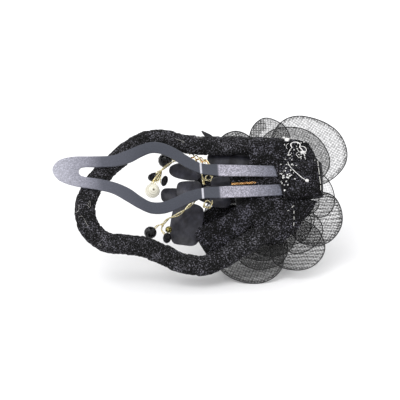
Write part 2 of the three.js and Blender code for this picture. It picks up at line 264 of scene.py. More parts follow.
class Finish:
    """A material with a Principled shader, and short ways to feed it."""

    def __init__(self, name, color, roughness, **values):
        self.material = bpy.data.materials.new(name)
        self.material.use_nodes = True
        self.tree = self.material.node_tree
        self.shader = self.tree.nodes["Principled BSDF"]
        self.set("Base Color", (*color, 1))
        self.set("Roughness", roughness)
        for socket, value in values.items():
            self.set(socket.replace("_", " "), value)

    def feed(self, socket, value):
        if isinstance(value, bpy.types.NodeSocket):
            self.tree.links.new(value, socket)
        else:
            socket.default_value = value

    def set(self, socket, value):
        self.feed(self.shader.inputs[socket], value)

    def node(self, kind, inputs=None, **settings):
        made = self.tree.nodes.new("ShaderNode" + kind)
        for key, value in settings.items():
            setattr(made, key, value)
        for socket, value in (inputs or {}).items():
            self.feed(made.inputs[socket], value)
        return made

    def place(self):
        return self.node("TexCoord").outputs["Object"]

    def scaled(self, where, scale):
        return self.node("Mapping", {"Vector": where, "Scale": scale}).outputs[0]

    def weave(self):
        return self.node("Attribute", attribute_name="weave").outputs["Vector"]

    def noise(self, where, scale, detail=2.0, rough=0.5):
        settings = {"Vector": where, "Scale": scale, "Detail": detail, "Roughness": rough}
        return self.node("TexNoise", settings).outputs["Fac"]

    def cells(self, where, scale):
        return self.node("TexVoronoi", {"Vector": where, "Scale": scale}).outputs["Distance"]

    def ramp(self, factor, stops):
        ramp = self.node("ValToRGB", {"Fac": factor})
        elements = ramp.color_ramp.elements
        while len(elements) < len(stops):
            elements.new(0.5)
        for element, (position, color) in zip(elements, stops):
            element.position = position
            element.color = (*color, 1) if hasattr(color, "__len__") else (color, color, color, 1)
        return ramp.outputs["Color"]

    def math(self, operation, a, b=0.0, clamp=False):
        return self.node("Math", {0: a, 1: b}, operation=operation, use_clamp=clamp).outputs[0]

    def paint(self, factor, stops):
        self.set("Base Color", self.ramp(factor, stops))

    def mix(self, factor, a, b, blend="MIX"):
        colors = [c if isinstance(c, bpy.types.NodeSocket) else (*c, 1) for c in (a, b)]
        inputs = {0: factor, 6: colors[0], 7: colors[1]}
        return self.node("Mix", inputs, data_type="RGBA", blend_type=blend).outputs[2]

    def bump(self, height, depth_mm, strength=1.0):
        settings = {"Height": height, "Distance": depth_mm * MM, "Strength": strength}
        self.set("Normal", self.node("Bump", settings).outputs["Normal"])

    def waves(self, where, pitch_mm, axis, distortion=0.0, detail_scale=1.0):
        """Stripes across a weave coordinate in mm."""
        settings = {"Vector": where, "Scale": 0.314 / pitch_mm, "Distortion": distortion,
                    "Detail": 2.0, "Detail Scale": detail_scale}
        return self.node("TexWave", settings, wave_type="BANDS", bands_direction=axis).outputs["Fac"]


# How far the bands of the metal's tone lean across the jaw, with its painted light, shade and highlight.
LIGHT_BAND_SKEW = 0.10


def painted_metal():
    """Gunmetal paint with painted light: paler at the tip and on the strips as painted light, with painted
    glints in its grain there, painted shade on the strips towards the hinge, and a painted highlight where
    it is bent.
    """
    f = Finish("gunmetal_paint", (0.1, 0.1, 0.12), 0.42, Metallic=0.25)
    where = f.place()
    axes = f.node("SeparateXYZ", {0: where}).outputs
    lean = f.math("MULTIPLY", f.math("SUBTRACT", axes["Y"], HINGE[1]), LIGHT_BAND_SKEW)
    x = f.math("ADD", f.math("SUBTRACT", axes["X"], HINGE[0]), lean)
    run = f.math("DIVIDE", x, -0.092, clamp=True)
    dark, pale = (0.050, 0.055, 0.073), (0.30, 0.29, 0.345)
    bend_highlight = (0.60, 0.60, 0.66)
    # The ramp paints light and shade into the colour: the pale strips and tip are painted light, the strips
    # darken towards the hinge as painted shade, and the narrow bright band at the far bend is a painted
    # highlight; dark is the paint's own tone.
    tone = f.ramp(run, [
        (0.04, (0.09, 0.095, 0.125)), (0.13, (0.18, 0.18, 0.22)), (0.22, pale), (0.300, pale),
        (0.306, dark), (0.3735, dark), (0.3745, bend_highlight), (0.379, bend_highlight), (0.380, dark), (0.62, dark),
        (0.80, (0.085, 0.089, 0.115)), (0.87, (0.24, 0.24, 0.29)), (0.95, (0.35, 0.35, 0.41)),
        (1.0, (0.38, 0.38, 0.44)),
    ])
    grain = f.noise(where, 1900, 3.0, 0.7)
    speck = f.ramp(grain, [(0.34, 0.45), (0.5, 0.95), (0.64, 1.9)])
    # How much of the flecked grain is mixed in: its bright flecks are painted glints, most on the strips and
    # the tip.
    glint_amount = f.ramp(run, [(0.0, 0.6), (0.29, 1.0), (0.31, 0.16), (0.75, 0.16), (0.9, 0.5), (1.0, 0.55)])
    f.set("Base Color", f.mix(glint_amount, tone, f.mix(1.0, tone, speck, "MULTIPLY")))
    f.set("Roughness", f.ramp(f.noise(where, 420, 4.0), [(0.3, 0.36), (0.7, 0.52)]))
    f.bump(grain, 0.02, 0.5)
    return f.material


def brushed_steel():
    f = Finish("bare_steel", (0.55, 0.55, 0.57), 0.35, Metallic=1.0)
    streak = f.noise(f.scaled(f.place(), (60, 1600, 1600)), 1.0, 3.0)
    f.paint(streak, [(0.3, 0.36), (0.7, 0.62)])
    f.set("Roughness", f.ramp(streak, [(0.3, 0.28), (0.7, 0.5)]))
    return f.material


def black_net(name, base, speck, amount, scale, purple):
    """Crinkled black net: near black, with painted glints where its threads catch the light."""
    f = Finish(name, (base, base, base), 0.85, Specular_IOR_Level=0.10)
    where = f.place()
    fine = f.noise(where, scale, 2.0, 0.5)
    broad = f.noise(where, 230, 3.0)
    threads = f.cells(where, scale * 0.9)
    light = f.math("ADD", f.math("MULTIPLY", fine, 0.75), f.math("MULTIPLY", threads, 0.25))
    light = f.math("ADD", light, f.math("MULTIPLY", f.math("SUBTRACT", broad, 0.5), 0.30))
    # The pale tint is painted light: glints where the threads catch the light.
    tint = (speck, speck * 0.98, speck * (1.08 + purple))
    f.paint(light, [
        (0.46 - amount, base), (0.53 - amount, base * 2.4), (0.60 - amount, tuple(0.35 * t for t in tint)),
        (0.70 - amount, tint)])
    f.set("Roughness", f.ramp(fine, [(0.3, 0.95), (0.75, 0.6)]))
    f.bump(light, 0.25, 0.8)
    return f.material


ORGANZA_TINT = 0.018


def organza(name, pitch, least, most, ripple=0.0, ripple_pitch=2.0):
    """Sheer black weave: two sets of threads, with the ripple that two layers make together."""
    tint = ORGANZA_TINT
    f = Finish(name, (tint, tint, tint * 1.15), 0.75, Specular_IOR_Level=0.15)
    weave = f.weave()
    warp = f.waves(weave, pitch, "X", 0.5, 0.6)
    weft = f.waves(weave, pitch * 1.07, "Y", 0.5, 0.6)
    threads = f.math("MAXIMUM", warp, weft)
    crinkle = f.noise(weave, 0.9, 4.0, 0.8)
    slubs = f.ramp(crinkle, [(0.40, 0.0), (0.60, 1.0)])
    cover = f.math("ADD", f.math("MULTIPLY", threads, 0.55), f.math("MULTIPLY", slubs, 0.45))
    if ripple:
        across = f.scaled(f.place(), (220, 0, 1000))
        moire = f.waves(across, ripple_pitch, "Z", 9.0, 0.45)
        cover = f.math("ADD", cover, f.math("MULTIPLY", f.math("SUBTRACT", moire, 0.5), ripple))
    reach = {"Value": cover, "From Min": 0.15, "From Max": 0.95, "To Min": least, "To Max": most}
    f.set("Alpha", f.node("MapRange", reach).outputs[0])
    f.paint(crinkle, [(0.4, tint), (0.75, tint * 3.2)])
    return f.material


def satin(name, deep, painted_sheen):
    f = Finish(name, deep, 0.42, Sheen_Weight=0.1, Specular_IOR_Level=0.35)
    # The colour runs from deep, the satin's own colour, to a painted sheen along stretched streaks, which
    # also set the roughness and bumps.
    folds_and_sheen = f.noise(f.scaled(f.place(), (1.0, 0.45, 1.0)), 330, 4.0, 0.6)
    middle = tuple((a + b) / 2 for a, b in zip(deep, painted_sheen))
    f.paint(folds_and_sheen, [(0.35, deep), (0.6, middle), (0.75, painted_sheen)])
    threads = f.waves(f.weave(), 0.16, "Y", 0.4)
    f.set("Roughness", f.ramp(folds_and_sheen, [(0.3, 0.5), (0.7, 0.34)]))
    f.bump(f.math("ADD", f.math("MULTIPLY", threads, 0.12), folds_and_sheen), 0.12, 0.5)
    return f.material


def felt(name, color):
    f = Finish(name, color, 0.95, Sheen_Weight=0.3)
    where = f.place()
    fuzz = f.noise(where, 1400, 5.0, 0.7)
    dark, pale = (tuple(share * c for c in color) for share in (0.5, 1.6))
    f.paint(fuzz, [(0.3, dark), (0.7, pale)])
    f.bump(fuzz, 0.2, 0.8)
    return f.material


def hot_glue():
    f = Finish("hot_glue", (0.80, 0.80, 0.78), 0.3, Subsurface_Weight=0.25, Coat_Weight=0.4)
    f.shader.inputs["Subsurface Radius"].default_value = (0.002, 0.002, 0.002)
    cloud = f.noise(f.place(), 700, 3.0)
    f.paint(cloud, [(0.3, (0.6, 0.6, 0.6)), (0.6, (0.88, 0.87, 0.85))])
    return f.material


def pearl_shell():
    """Ivory, with a fine spiral left by winding; weave holds (turn, fall) of the ball from 0 to 1."""
    f = Finish("pearl_bead", (0.85, 0.80, 0.64), 0.22, Coat_Weight=0.6)
    axes = f.node("SeparateXYZ", {0: f.weave()})
    spiral = f.math("ADD", f.math("MULTIPLY", axes.outputs["X"], 9.0), axes.outputs["Y"])
    line = f.math("FRACT", spiral)
    tone = f.ramp(line, [(0.0, (0.30, 0.28, 0.13)), (0.14, (0.86, 0.82, 0.68)), (0.8, (0.92, 0.89, 0.78)),
                         (1.0, (0.42, 0.40, 0.20))])
    cloud = f.noise(f.place(), 500, 2.0)
    f.set("Base Color", f.mix(f.ramp(cloud, [(0.35, 0.15), (0.7, 0.75)]), tone, (0.90, 0.87, 0.74)))
    f.bump(line, 0.05, 0.4)
    return f.material


def jet():
    f = Finish("jet_bead", (0.003, 0.003, 0.004), 0.12, Specular_IOR_Level=0.22)
    f.paint(f.noise(f.place(), 900, 2.0), [(0.4, 0.002), (0.8, (0.016, 0.017, 0.022))])
    return f.material


def bright_gold(name, pale, deep):
    f = Finish(name, pale, 0.24, Metallic=1.0)
    f.paint(f.noise(f.place(), 1300, 2.0), [(0.35, deep), (0.6, pale)])
    return f.material


def clear_plastic():
    f = Finish("clear_bead", (0.93, 0.95, 0.96), 0.06, IOR=1.5, Alpha=0.45)
    f.paint(f.noise(f.place(), 900, 2.0), [(0.3, 0.7), (0.7, 0.98)])
    return f.material


METAL = painted_metal()
STEEL = brushed_steel()
RIBBON = black_net("black_net_ribbon", 0.0050, 0.17, 0.0, 2300, 0.06)
NET = black_net("black_net_patch", 0.0030, 0.15, -0.01, 2100, 0.12)
BAND = black_net("black_net_band", 0.0030, 0.13, 0.0, 2300, 0.16)
FELT = felt("black_felt", (0.012, 0.012, 0.014))
COTTON = felt("cotton_padding", (0.03, 0.03, 0.032))
HEM = felt("organza_hem", (0.012, 0.012, 0.014))
SHEER_BRIGHT = organza("organza_bright", 1.00, 0.02, 0.72)
SHEER_CROSS = organza("organza_cross", 1.05, 0.16, 0.86, 0.2, 1.3)
SHEER_WAVE = organza("organza_wave", 0.95, 0.08, 0.88, 0.5, 1.0)
SHEER_FOLD = organza("organza_folded", 0.95, 0.18, 0.84)
SHEER_DEEP = organza("organza_deep", 0.90, 0.25, 0.85)
SHEER_INNER = organza("organza_inner", 0.95, 0.04, 0.48)
# The second colour is the painted sheen on the satin.
SATIN = satin("navy_satin", (0.010, 0.010, 0.015), (0.058, 0.058, 0.082))
GLUE = hot_glue()
PEARL = pearl_shell()
JET = jet()
GOLD = bright_gold("gold_wire", (0.97, 0.91, 0.66), (0.62, 0.50, 0.20))
OLIVE = bright_gold("gold_bead", (0.40, 0.34, 0.12), (0.03, 0.03, 0.01))
BRAID = bright_gold("orange_braid", (0.86, 0.52, 0.22), (0.40, 0.20, 0.08))
CLEAR = clear_plastic()
THREAD = felt("pale_thread", (0.62, 0.61, 0.58))

# ---- jaw

SHEET = 0.8
BEND_NEAR, BEND_FAR, RAMP_RISE, TIP_SLOPE, JAW_SKEW = -28, -34.5, 0.35, 0.2, 0.011
FORK = [
    (-1, 6.2, -1, 1.6), (-14, 6.8, -14, 2.0), (-28, 7.3, -28, 2.4), (-34.5, 7.7, -34.5, 3.2),
    (-39.5, 10.2, -40.5, 5.4), (-44.5, 13.2, -45.3, 8.3), (-49.5, 15.2, -49.8, 10.4),
    (-54, 15.4, -54, 10.6), (-58.5, 13.7, -57.8, 8.7), (-63.5, 10.9, -62, 5.8), (-69, 8.1, -67.5, 3.6),
    (-77, 6.9, -74.5, 2.5), (-84.5, 6.0, -79.5, 2.1), (-89.5, 3.9, -81.1, 1.5), (-91.6, 0, -81.7, 0),
]
LEVER_START, LEVER_END, LEVER_SLOPE, LEVER_HALF_WIDTH = 2, 11.5, 0.28, 6.2
EDGE_ROUND = 0.2
EAR_RADIUS, PIN_HOLE_RADIUS, EAR_FACES = 1.7, 0.9, (5.0, -5.8)


def fork_height(x):
    ramp = RAMP_RISE * min(1, (BEND_NEAR - x) / (BEND_NEAR - BEND_FAR)) if x < BEND_NEAR else 0
    return ramp + TIP_SLOPE * max(0, BEND_FAR - x)


def plate_ring(width):
    """A rounded rectangle, as (share across, height) points: the section of a sheared strip."""
    ring = []
    for corner_a, corner_b, start in ((1, 1, 0), (0, 1, 90), (0, 0, 180), (1, 0, 270)):
        for step in (0, 30, 60, 90):
            turn = radians(start + step)
            a = corner_a * width + EDGE_ROUND * (cos(turn) + (1 - 2 * corner_a))
            b = corner_b * SHEET + EDGE_ROUND * (sin(turn) + (1 - 2 * corner_b))
            ring.append((a / width, b))
    return ring


def fork_grid():
    def edge(column):
        half = [(row[column], row[column + 1], 0) for row in FORK]
        mirrored = [(x, -y, 0) for x, y, _ in half[:-1]][::-1]
        return curve(half + mirrored, None)

    outer, inner = edge(0), edge(2)
    rows = []
    for a, b in zip(outer, inner):
        ring = [(a + (b - a) * share, height) for share, height in plate_ring(np.linalg.norm(a - b))]
        rows.append([(p[0], p[1] + JAW_SKEW * p[0], fork_height(p[0]) + h) for p, h in ring])
    return rows


def lever_height(x):
    return LEVER_SLOPE * max(0, x - LEVER_START)


def lever_grid():
    rows = []
    for x in np.linspace(-3.5, LEVER_END, 40):
        taper = 1 - 0.22 * max(0, (x - 7) / (LEVER_END - 7)) ** 2
        half = LEVER_HALF_WIDTH * taper
        rows.append([(x, (2 * s - 1) * half, lever_height(x) + h) for s, h in plate_ring(2 * half)])
    return rows


def ear_grid(y_low, root):
    """An ear round the hinge axis with a pin hole: an outline and a hole, each on both faces."""
    top = root - AXIS_Z
    outline, hole = [], []
    for _, c, s in around(48):
        reach = EAR_RADIUS
        if s * top > 0:
            upward, limit = abs(s), abs(top)
            reach = limit / upward
            slope = 0.8 / limit
            if abs(c) - slope * upward > 1e-3:
                reach = min(reach, EAR_RADIUS / (abs(c) - slope * upward))
        outline.append((reach * c, reach * s))
        hole.append((PIN_HOLE_RADIUS * c, PIN_HOLE_RADIUS * s))
    loops = [(outline, y_low), (hole, y_low), (hole, y_low + SHEET), (outline, y_low + SHEET)]
    return [[(a, y, AXIS_Z + b) for a, b in loop] for loop, y in loops]


def build_jaw():
    b = Builder("jaw_metal")
    b.solid(fork_grid())
    b.solid(lever_grid())
    for y in EAR_FACES:
        b.grid(ear_grid(y, SHEET / 2), close_rows=True, close_cols=True)
    settle(b.made(METAL), "gunmetal_paint", "jaw_blade", body="jaw")


# ---- wrapped loop

LOOP = [
    (5, 14.9), (-3, 16.3), (-11, 17.4), (-19, 17.7), (-27, 17.6), (-35.5, 17.6), (-42, 17.9), (-48.5, 19.2),
    (-54.5, 18.9), (-60, 15.9), (-64.6, 11.6), (-68.5, 7), (-71.6, 3), (-74.6, -1), (-77.4, -7),
    (-79, -13.3), (-78.7, -18.5), (-76.7, -23), (-73.6, -26.2), (-69.4, -27.7), (-64.5, -27.7),
    (-59.2, -27.6), (-54.5, -28.6), (-49.5, -30.4), (-44.8, -32.6), (-39.5, -34.1), (-33.8, -34.2),
    (-27.6, -31.8), (-19.7, -26.6), (-12.6, -22.2), (-3.9, -15.8), (2.2, -11.3),
]
WRAP_WIDE, WRAP_THICK = 8.0, 5.8
LAP_PITCH, LAP_STEP = 9.5, 0.34
WRAP_STEPS, WRAP_SIDES = 640, 40


def loop_path(count):
    points = [(x, y, -4 + 11.2 * np.clip((-20 - x) / 62, 0, 1) ** 2) for x, y in LOOP]
    return curve(points, count)


def wrap_swell(run, turn, p):
    """How far the ribbon stands out: a step at each lap, with creases pulled along the lap."""
    phase = run / LAP_PITCH - turn / (tau)
    lap = phase - math.floor(phase)
    step = LAP_STEP * (1 - lap) * float(smooth(lap / 0.05))
    creases = 0.10 * sin(tau * (5 * lap + 0.8 * wobble(p, 6, 3.0)))
    return step + creases * lap + 0.20 * wobble(p, 3.4) + 0.10 * wobble(p, 1.3, 5.0) - 0.16


def build_wrap():
    path = loop_path(WRAP_STEPS)
    _, side, up = frames(path)
    run = distances(path)
    rows = []
    for i, centre in enumerate(path):
        ring = []
        for turn, c, s in around(WRAP_SIDES):
            base = centre + side[i] * WRAP_WIDE / 2 * c + up[i] * WRAP_THICK / 2 * s
            normal = side[i] * c * WRAP_THICK + up[i] * s * WRAP_WIDE
            normal /= np.linalg.norm(normal)
            ring.append(base + normal * wrap_swell(run[i], turn, base))
        rows.append(ring)
    b = Builder("ribbon_wrap").solid(rows)
    settle(b.made(RIBBON), "black_net_ribbon", "frame_wrap")


def build_lint():
    """A few pale fibres caught in the ribbon."""
    rng = random.Random(7)
    b = Builder("lint_fibres")
    path = loop_path(200)
    _, side, up = frames(path)
    for _ in range(11):
        i = rng.randrange(20, 175)
        turn = rng.uniform(0.2, 2.6)
        fibre = []
        for k in range(4):
            j = min(199, max(0, i + round(rng.uniform(-2, 2) + k)))
            a = turn + rng.uniform(-0.35, 0.35)
            lift = 1.0 + 0.035 * sin(k)
            fibre.append(path[j] + lift * (side[j] * 3.85 * cos(a) + up[j] * 2.95 * sin(a)))
        b.tube(curve(fibre, 14), 0.035, 5)
    settle(b.made(THREAD), "cotton_padding")


# ---- net over the hinge

PATCH_START, PATCH_LOW, PATCH_HIGH, PATCH_STEP = -15.5, -24.5, 20.6, 0.5
WELL_START, WELL_HALF = -3.0, 8.1
TONGUE_HALF, TONGUE_REACH = 6.5, 8.0
# Where the net ends along x, from its lower to its upper edge: (y, x).
PATCH_RIM = [(-24.5, -4), (-20, 2.6), (-16, 5.2), (-10.8, 9.8), (-3.6, 12.4), (7.2, 12.2), (12.5, 10.8),
             (17.2, 8.2), (19.2, 3), (20.6, -5)]


def patch_height(x, y):
    """The net lies on the two tube ends and sags between them and over its edges."""
    z = -0.45
    z -= 2.4 * float(smooth((y - 17.0) / 4.5)) ** 1.2
    z -= 5.6 * float(smooth((-16.0 - y) / 10.0))
    z -= 1.3 * float(smooth((x - 9.0) / 3.4))
    z -= 1.3 * float(smooth((-11.5 - x) / 6.0))
    fold = sin(0.55 * x + 0.28 * y + 1.2 * wobble((x, y, 0), 7)) * 0.26
    lumps = 0.50 * wobble((x, y, 1), 3.4) + 0.16 * wobble((x, y, 2), 1.2)
    return z + (fold + lumps) * float(smooth((abs(y) - 4.5) / 3.0))


def patch_edges(y):
    """Where the net starts and ends along x: a tongue under the jaw, and rounded far corners."""
    tongue = TONGUE_REACH * float(smooth((TONGUE_HALF - abs(y)) / 2.0))
    start = PATCH_START - tongue + 2.2 * float(smooth((abs(y) - 14) / 7)) + 0.5 * wobble((3, y, 4), 2.0)
    rim = float(np.interp(y, *zip(*PATCH_RIM)))
    return start, rim + 0.6 * wobble((9, y, 4), 2.0)


def build_patch():
    """The net has an open well for the lever, so it is laid as three joined fields."""
    b = Builder("net_patch")
    for y0, y1, well in ((PATCH_LOW, -WELL_HALF, False), (-WELL_HALF, WELL_HALF, True),
                         (WELL_HALF, PATCH_HIGH, False)):
        lines = []
        for y in np.linspace(y0, y1, round((y1 - y0) / PATCH_STEP)):
            start, end = patch_edges(y)
            xs = np.linspace(start, WELL_START if well else end, 56)
            lines.append([(x, y, patch_height(x, y)) for x in xs])
        b.grid(np.swapaxes(lines, 0, 1))
    piece = b.made(NET)
    thicken(piece)
    settle(piece, "black_net_ribbon", "net_cover")
    ys = np.linspace(PATCH_LOW, PATCH_HIGH, 120)
    near = [(patch_edges(y)[0], y) for y in ys[::-1]]
    far = [(WELL_START if abs(y) < WELL_HALF else patch_edges(y)[1], y) for y in ys]
    line_x = [(x, 14, patch_height(x, 14)) for x in np.linspace(-14, 8, 60)]
    line_y = [(-9, y, patch_height(-9, y)) for y in ys]
    sag = (distances(line_x)[-1] / 22, distances(line_y)[-1] / (PATCH_HIGH - PATCH_LOW))
    declare_cut(np.array(near + far) * sag)


GATHER_PATH = [(-35.0, -24.4, -6.3), (-29, -21, -5.5), (-22, -16.8, -4), (-15.5, -12.2, -2.8),
               (-12.5, -10.2, -2.3)]
GATHER_HALF_WIDTH, GATHER_HALF_THICKNESS = 5.6, 1.15


def build_gather():
    """A doubled band of net, drawn up in ribs at its far end."""
    path = curve(GATHER_PATH, 120)
    _, side, up = frames(path)
    rows = []
    for i, centre in enumerate(path):
        share = i / (len(path) - 1)
        drawn = (1 - share) ** 3
        ring = []
        for turn, c, s in around(96):
            ribs = 0.20 * drawn * sin(14 * turn) + 0.10 * sin(5 * turn + 9 * share)
            wide = GATHER_HALF_WIDTH * (1 + 0.12 * sin(6 * share + 1)) * min(1.0, 0.7 + 3 * share)
            thick = GATHER_HALF_THICKNESS * min(1.0, 0.45 + 6 * share)
            base = centre + side[i] * (wide + ribs) * c + up[i] * (thick + ribs) * s
            swell = 0.35 * wobble(base, 3.0, 2.0) + 0.12 * wobble(base, 1.2, 6.0)
            ring.append(base + up[i] * swell * s)
        rows.append(ring)
    piece = settle(Builder("net_band").solid(rows).made(BAND), "black_net_ribbon", "net_gather")
    length, width = distances(path)[-1], 2 * GATHER_HALF_WIDTH
    declare_cut([(0, 0), (length, 0), (length, width), (0, width)])


COVER_START, COVER_END, COVER_HALF = -4.4, 12.9, 8.0


def lever_cover_point(u, v):
    """u runs along the lever and v across it, both from -1 to 1; the rim is tucked round it."""
    x = COVER_START + (COVER_END - COVER_START) * (u + 1) / 2
    y = COVER_HALF * v
    across = 1 - abs(v) ** 6
    forward = float(smooth((x - COVER_START) / 4.2))
    tail = 1 - max(0.0, (x - COVER_END + 2.6) / 2.6) ** 2.5
    top = 1.35 + 1.8 * forward + lever_height(min(x, LEVER_END))
    rim = -0.9 + lever_height(x) * 0.6 + 2.0 * float(smooth((-1.6 - x) / 1.5))
    z = rim + (top - rim) * max(0.0, across) ** 0.6 * max(0.0, 0.25 + 0.75 * tail)
    lumps = 0.45 * wobble((x, y, 7), 3.0) + 0.20 * wobble((x, y, 9), 1.3)
    ragged = (0.5 * wobble((y, 3, 8), 2.1) - 0.22 * y) * max(0.0, -u)
    settled = lumps * (0.35 + 0.65 * across) * float(smooth((x - COVER_START) / 3.0))
    return x + ragged, y * (1 - 0.05 * u**4), z + settled


def lever_cover_height(x, y):
    u = 2 * (x - COVER_START) / (COVER_END - COVER_START) - 1
    return lever_cover_point(u, y / COVER_HALF)[2]


def build_lever_cover():
    rows = [[lever_cover_point(u, v) for v in np.linspace(-1, 1, 46)] for u in np.linspace(-1, 1, 48)]
    piece = Builder("lever_net").grid(rows).made(NET)
    thicken(piece)
    settle(piece, "black_net_ribbon", "lever_pad", body="jaw")
    along = distances([lever_cover_point(u, 0) for u in np.linspace(-1, 1, 60)])[-1]
    over = distances([lever_cover_point(0, v) for v in np.linspace(-1, 1, 60)])[-1]
    declare_cut(rounded_cut(along / 2, over / 2, 4))


# ---- glue and stitches

def blob(b, centre, radii, seed):
    rows = []
    for i in range(1, 12):
        fall = pi * i / 12
        ring = []
        for _, c, s in around(16):
            d = np.array([sin(fall) * c, sin(fall) * s, cos(fall)])
            swell = 1 + 0.22 * wobble(d * 3, 1.7, seed)
            ring.append(np.array(centre) + np.array(radii) * d * swell)
        rows.append(ring)
    b.solid(rows)


def string(b, points, thick, seed=0.0):
    path = curve(points, 26)
    swell = [thick * (1 + 0.5 * wobble(p, 1.5, seed)) for p in path]
    b.tube(path, swell, 7)


def build_glue():
    b = Builder("glue_on_net")
    blob(b, (-1.6, 19.2, 0.1), (0.6, 0.45, 0.4), 1)
    blob(b, (-0.4, 18.2, 0.3), (1.0, 0.8, 0.5), 2)
    blob(b, (5.6, 12.4, 0.5), (1.0, 0.8, 0.5), 3)
    string(b, [(-0.6, 18.5, 0.4), (1.3, 18.9, 0.4), (2.6, 18.6, 0.1)], 0.16, 1)
    ring = [(2.9 + 1.9 * cos(a), 15.6 + 1.5 * sin(a), 0.5 + 0.2 * cos(2 * a))
            for a in np.linspace(-0.6, 3.9, 7)]
    string(b, ring, 0.22, 2)
    string(b, [ring[0], (5.4, 13.6, 0.6), (5.9, 12.2, 0.6), (6.4, 11.0, 0.4)], 0.2, 3)
    string(b, [ring[-1], (0.6, 13.4, 0.7), (-0.2, 11.2, 0.5)], 0.13, 4)
    string(b, [(4.9, 15.2, 0.5), (6.6, 14.8, 0.4), (7.2, 13.6, 0.3), (6.6, 12.4, 0.4)], 0.14, 7)
    string(b, [(3.2, 14.2, 0.5), (4.0, 12.9, 0.6), (3.0, 11.6, 0.5), (3.8, 10.4, 0.5)], 0.10, 8)
    string(b, [(0.2, 16.6, 0.4), (-0.8, 15.4, 0.4), (-0.4, 14.0, 0.3)], 0.09, 9)
    rng = random.Random(3)
    for i in range(30):
        centre = (rng.uniform(-1.5, 7.8), rng.uniform(9.0, 17.5), 0.05 + rng.uniform(-0.2, 0.2))
        blob(b, centre, [rng.uniform(0.12, 0.34) for _ in range(3)], i)
    settle(b.made(GLUE), "hot_glue", "glue_blob")

    b = Builder("glue_on_lever")
    string(b, [(-0.4, 7.6, 1.6), (-0.5, 6.4, 3.0), (0.4, 4.2, 3.7), (2.4, 1.7, 4.1), (4.6, -0.7, 4.5),
               (6.2, -2.0, 4.9)], 0.13, 6)
    blob(b, (6.5, -2.1, 4.8), (0.75, 0.65, 0.55), 5)
    for i in range(44):
        x, y = rng.gauss(-1.0, 1.5), rng.gauss(1.6, 3.2)
        if abs(y) > 7.2 or x < -4.2 - 0.2 * y:
            continue
        height = lever_cover_height(x, y)
        blob(b, (x, y, height + 0.1), [rng.uniform(0.14, 0.40) for _ in range(3)], 20 + i)
    settle(b.made(GLUE), "hot_glue", body="jaw")


def build_stitches():
    b = Builder("white_stitches")
    for x, y, length, lean in ((10.4, 8.9, 1.6, 0.1), (1.1, -10.8, 1.2, 0.8), (1.4, -13.2, 1.3, 0.1),
                               (1.3, -15.8, 1.1, 0.0), (1.2, -18.0, 1.0, 0.1), (-0.8, -12.6, 0.8, 1.2)):
        points = []
        for s in (-0.5, -0.2, 0.2, 0.5):
            px, py = x + s * length * sin(lean), y + s * length * cos(lean)
            points.append((px, py, patch_height(px, py) + 0.22 - 1.2 * s * s))
        b.tube(curve(points, 12), 0.13, 6)
    settle(b.made(THREAD), "cotton_padding")
    b = Builder("lever_stitch")
    for y0, y1 in ((6.6, 4.1), (3.4, 0.4), (-0.5, -3.6), (-4.4, -6.0)):
        points = []
        for s in np.linspace(0, 1, 5):
            y = y0 + (y1 - y0) * s
            x = 10.9 + 0.06 * (6.6 - y)
            height = lever_cover_height(x, y)
            points.append((x, y, height + 0.30 - 1.3 * (s - 0.5) ** 2))
        b.tube(curve(points, 14), 0.12, 6)
    settle(b.made(THREAD), "cotton_padding", body="jaw")


# ---- organza flower

FLOWER_X, FLOWER_Y = -6, -3.5
PETAL_ROOT, PINWHEEL = 4.3, 1.3
RINGS = [
    {"name": "outer_petal", "z": -11.6, "cup": 2.5, "ruffle": 0.8, "petals": [
        (56, 41, 35, -2, SHEER_BRIGHT), (91, 36.3, 20, -2, SHEER_FOLD), (122, 35.2, 23, -0.5, SHEER_FOLD),
        (160, 33, 24, 2.5, BAND), (199, 32, 16, 2.5, BAND), (247, 37, 33, 0, SHEER_CROSS),
        (295, 31.8, 30, -0.5, SHEER_WAVE), (335, 29, 36, -1, SHEER_WAVE)]},
    {"name": "middle_petal", "z": -14.4, "cup": 4, "ruffle": 0.8, "petals": [
        (15, 26, 34, 1, SHEER_INNER), (67, 37.5, 36, 1, SHEER_FOLD), (135, 29, 34, 4, SHEER_DEEP),
        (195, 28, 34, 4, SHEER_DEEP), (255, 27.5, 34, 4, SHEER_DEEP), (315, 24, 34, 4, SHEER_INNER)]},
    {"name": "inner_petal", "z": -17.6, "cup": 6, "ruffle": 0.9, "petals": [
        (30, 21, 40, 6, SHEER_INNER), (102, 23, 40, 6, SHEER_CROSS), (174, 23, 40, 6, SHEER_CROSS),
        (246, 22.5, 40, 6, SHEER_CROSS), (318, 18, 40, 6, SHEER_INNER)]},
    {"name": "heart_petal", "z": -21, "cup": 12, "ruffle": 1.0, "petals": [
        (0, 18, 48, 12, SHEER_INNER), (90, 18, 48, 12, SHEER_DEEP), (180, 18, 48, 12, SHEER_DEEP),
        (270, 18, 48, 12, SHEER_DEEP)]},
]
HEM_RADIUS, FOLD_LIFT = 0.22, 0.4
# Petals whose hem is folded back on itself: from and to round the petal, in degrees, and how
# far in the fold reaches.
FOLDS = {"outer_petal_1": (-150, 150, 0.93), "outer_petal_2": (10, 125, 0.70),
         "outer_petal_3": (-90, 90, 0.80), "outer_petal_6": (-120, 120, 0.94),
         "outer_petal_8": (-80, 110, 0.88)}
RIBBON_END = [(-30.2, 22.4, -8.6), (-31.6, 24.2, -8.4), (-33.0, 25.4, -8.2), (-34.4, 27.0, -8.6)]
RINGS_IN_PETAL, ROUND_PETAL = 22, 84


